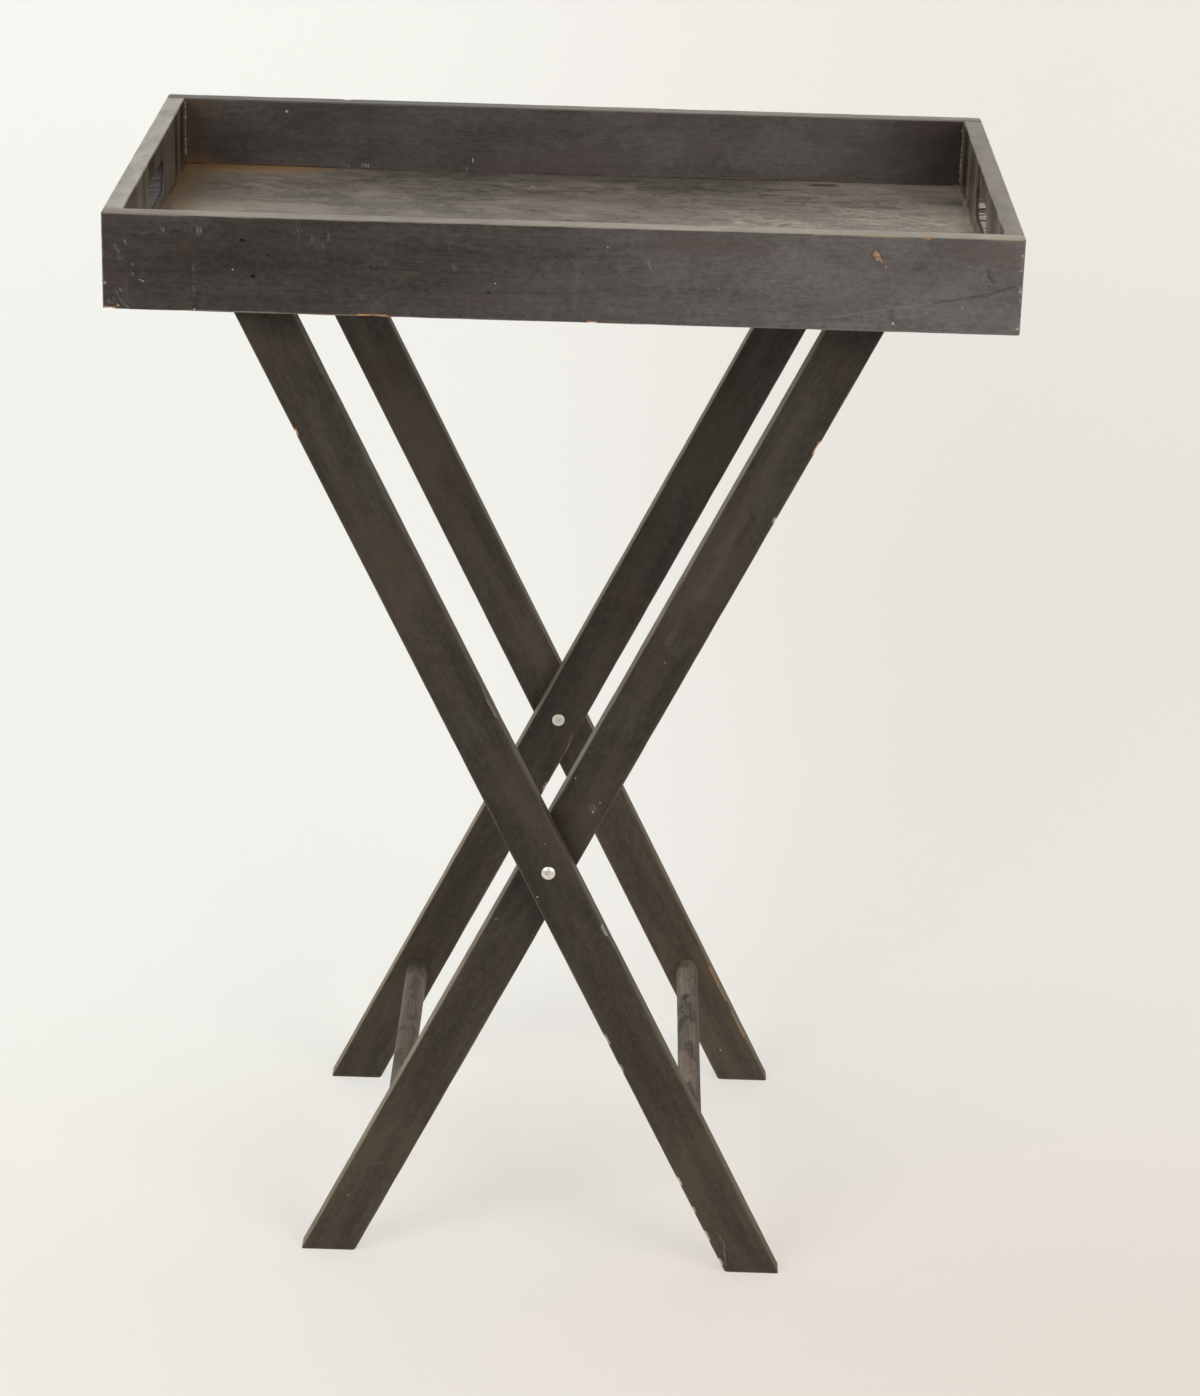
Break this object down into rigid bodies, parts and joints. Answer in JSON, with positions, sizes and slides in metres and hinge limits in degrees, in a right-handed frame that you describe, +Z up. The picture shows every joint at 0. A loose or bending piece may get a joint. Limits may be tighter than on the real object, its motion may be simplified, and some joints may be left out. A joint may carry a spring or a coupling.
{
  "type": "butlers tray table",
  "caption": "Rectangular wooden tray with hand holes in its ends, loose on a folding stand of crossed flat legs joined by round rails and pivot screws.",
  "frame": {"origin": "on the ground, under the middle of the tray", "axes": "+X along the tray to the right, +Y from front to back, +Z up"},
  "size_m": [0.68, 0.415, 0.885],
  "materials": {
    "tray_wood": "black-brown stain, worn satin, chipped at the arrises",
    "floor_wood": "black-brown stain, scuffed and dusty, low sheen",
    "cleat_wood": "black-brown stain, matt",
    "peg_wood": "raw, glued, hidden",
    "leg_wood": "black-brown stain, satin, worn at the edges",
    "dowel_wood": "black-brown stain, rubbed thin",
    "pivot_steel": "nickel plated, dulled",
    "screw_steel": "zinc plated"
  },
  "bodies": {
    "outer_frame": {"outer_front_leg": "leg_wood", "outer_back_leg": "leg_wood", "outer_lower_dowel": "dowel_wood", "outer_upper_dowel": "dowel_wood", "front_pivot_sleeve": "pivot_steel", "front_pivot_screw": "pivot_steel", "front_pivot_washer": "pivot_steel", "back_pivot_sleeve": "pivot_steel", "back_pivot_screw": "pivot_steel", "back_pivot_washer": "pivot_steel"},
    "inner_frame": {"inner_front_leg": "leg_wood", "inner_back_leg": "leg_wood", "inner_lower_dowel": "dowel_wood", "inner_upper_dowel": "dowel_wood"},
    "tray": {"tray_front_wall": "tray_wood", "tray_back_wall": "tray_wood", "tray_left_end": "tray_wood", "tray_right_end": "tray_wood", "tray_floor": "floor_wood", "tray_cleat_left": "cleat_wood", "tray_cleat_right": "cleat_wood", "corner_pegs": "peg_wood", "cleat_screws": "screw_steel"}
  },
  "joints": [
    {"name": "stand_fold", "type": "hinge", "parent": "outer_frame", "child": "inner_frame", "pos_m": [0, 0, 0.355], "axis": [0, -1, 0], "range_deg": [0, 46]},
    {"name": "tray_lift", "type": "slide", "parent": "outer_frame", "child": "tray", "axis": [0, 0, 1], "range_m": [0, 0.41]}
  ],
  "couplings": [
    {"joint": "tray_lift", "follows": "stand_fold", "m_per_rad": 0.5}
  ]
}
